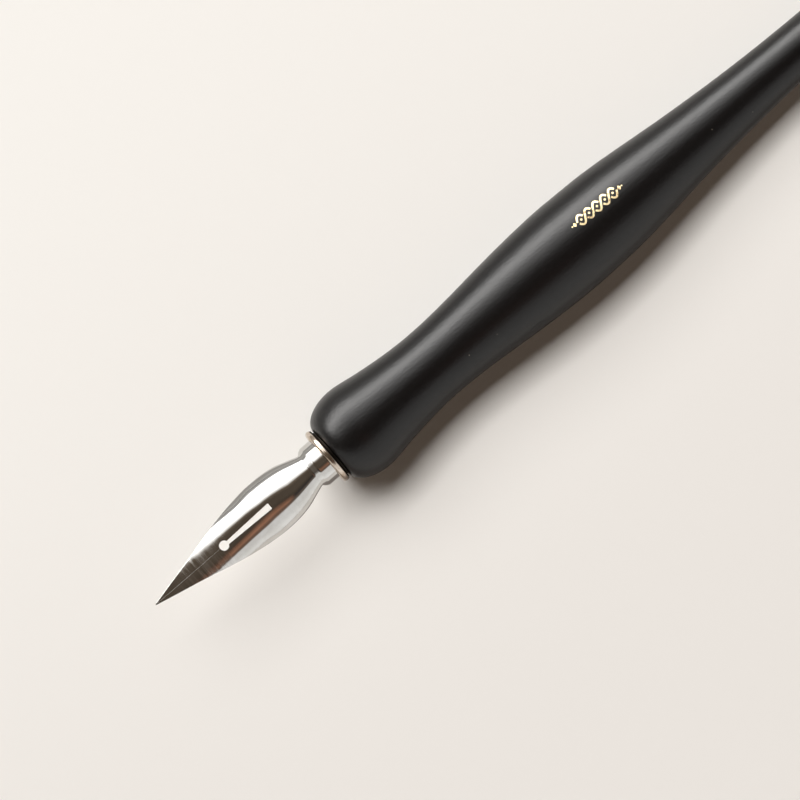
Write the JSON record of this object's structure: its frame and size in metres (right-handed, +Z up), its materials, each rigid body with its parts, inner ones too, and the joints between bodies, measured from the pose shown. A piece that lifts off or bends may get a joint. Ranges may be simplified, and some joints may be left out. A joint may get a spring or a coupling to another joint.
{
  "type": "dip pen",
  "caption": "Dip pen: waisted black wooden handle, rolled-rim ferrule with a petal clip, and a chromed pointed nib that pulls out along the pen's axis.",
  "frame": {"origin": "bottom centre of the pen's bounding box, as it lies with its belly on the desk", "axes": "+X along the pen's axis towards the nib's point; +Z up, out of the nib's convex face; +Y completes the right-handed frame"},
  "size_m": [0.186, 0.0118, 0.0119],
  "materials": {
    "handle_lacquer": "satin",
    "ferrule_nickel": "polished",
    "clip_steel": "satin",
    "nib_chrome": "polished",
    "gold_foil": "satin"
  },
  "bodies": {
    "holder": {"handle": "handle_lacquer", "ferrule_sleeve": "ferrule_nickel", "petal_clip": "clip_steel"},
    "nib": {"nib": "nib_chrome"}
  },
  "joints": [
    {"name": "nib_slide", "type": "slide", "parent": "holder", "child": "nib", "axis": [1, 0, 0], "range_m": [0, 0.012]}
  ]
}
